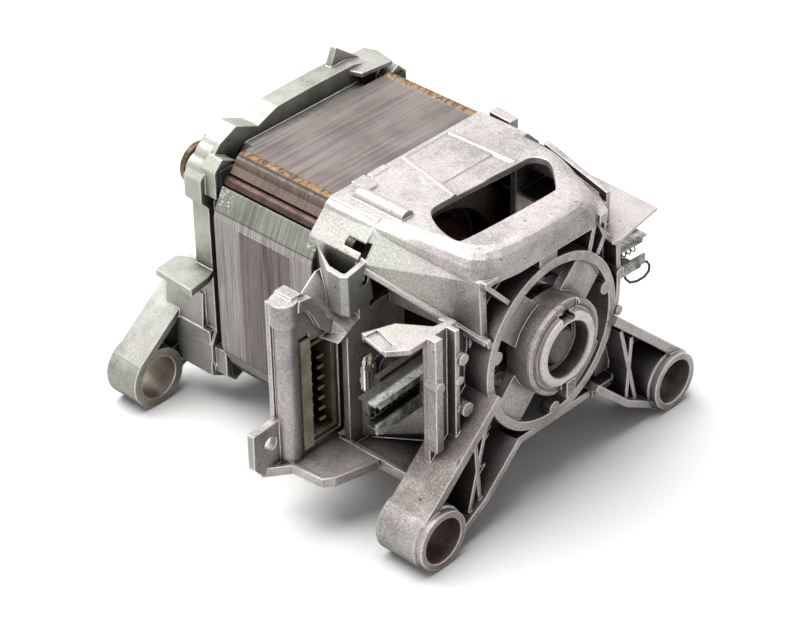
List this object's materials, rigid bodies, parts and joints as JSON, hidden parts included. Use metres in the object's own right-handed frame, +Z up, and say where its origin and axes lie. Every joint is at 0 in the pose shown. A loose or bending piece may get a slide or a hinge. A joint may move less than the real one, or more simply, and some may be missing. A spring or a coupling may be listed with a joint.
{
  "type": "washing machine motor",
  "caption": "Brushed washing machine drive motor with cast brackets, laminated stator, side connector, brush gear and a ribbed belt pulley on its shaft.",
  "frame": {"origin": "on the shaft axis at the middle of the pulley's belt track", "axes": "+Y along the shaft from the commutator end to the pulley end, +Z up from the feet to the hood, +X to the right as seen from the commutator end"},
  "size_m": [0.187, 0.2104, 0.1354],
  "materials": {
    "cast_aluminium": "die-cast, satin, slightly grimy",
    "lamination_steel": "stacked lamination edges",
    "dark_steel": "dark oxidised screw steel",
    "black_plastic": "matte",
    "copper_winding": "enamelled copper wire set in varnish",
    "white_plastic": "matte",
    "green_plastic": "matte",
    "brown_plastic": "moulded phenolic resin",
    "steel": "ground",
    "copper": "turned copper",
    "bearing_steel": "polished",
    "pulley_steel": "machined, browned",
    "magnet": "sintered ferrite, grey",
    "zinc_sheet": "folded plated sheet",
    "carbon": "carbon",
    "ivory_plastic": "moulded, yellowed",
    "contact_brass": "stamped"
  },
  "bodies": {
    "frame": {"front_bracket": "cast_aluminium", "rear_bracket": "cast_aluminium", "stator_core": "lamination_steel", "through_bolts": "dark_steel", "corner_spacers": "black_plastic", "field_coil_upper": "copper_winding", "field_coil_lower": "copper_winding", "coil_insulator_front": "white_plastic", "coil_insulator_rear": "white_plastic", "front_bearing_outer": "bearing_steel", "rear_bearing_outer": "bearing_steel", "bearing_wave_washer": "steel", "brush_carrier_left": "brown_plastic", "brush_carrier_right": "brown_plastic", "brush_holder_left": "zinc_sheet", "brush_holder_right": "zinc_sheet", "brush_spring_left": "steel", "brush_spring_right": "steel", "brush_lead_left": "black_plastic", "brush_lead_right": "black_plastic", "terminal_block": "ivory_plastic", "terminal_contacts": "contact_brass", "spade_terminal": "zinc_sheet", "carrier_screws": "steel"},
    "rotor": {"shaft": "steel", "armature_core": "lamination_steel", "armature_winding": "copper_winding", "end_spider_front": "green_plastic", "end_spider_rear": "green_plastic", "commutator_hub": "brown_plastic", "commutator_bars": "copper", "front_bearing_inner": "bearing_steel", "front_bearing_balls": "bearing_steel", "rear_bearing_inner": "bearing_steel", "rear_bearing_balls": "bearing_steel", "drive_pulley": "pulley_steel", "tacho_magnet": "magnet"},
    "left_brush": {"brush_left": "carbon"},
    "right_brush": {"brush_right": "carbon"}
  },
  "joints": [
    {"name": "rotor_spin", "type": "hinge", "parent": "frame", "child": "rotor", "pos_m": [0, 0, 0], "axis": [0, 1, 0], "continuous": true},
    {"name": "brush_left_slide", "type": "slide", "parent": "frame", "child": "left_brush", "axis": [-0.9986, 0, -0.0523], "range_m": [0, 0.006], "stiffness_N_per_m": 150, "springref_m": -0.01, "deforming": ["brush_spring_left"]},
    {"name": "brush_right_slide", "type": "slide", "parent": "frame", "child": "right_brush", "axis": [0.9986, 0, -0.0523], "range_m": [0, 0.006], "stiffness_N_per_m": 150, "springref_m": -0.01, "deforming": ["brush_spring_right"]}
  ]
}
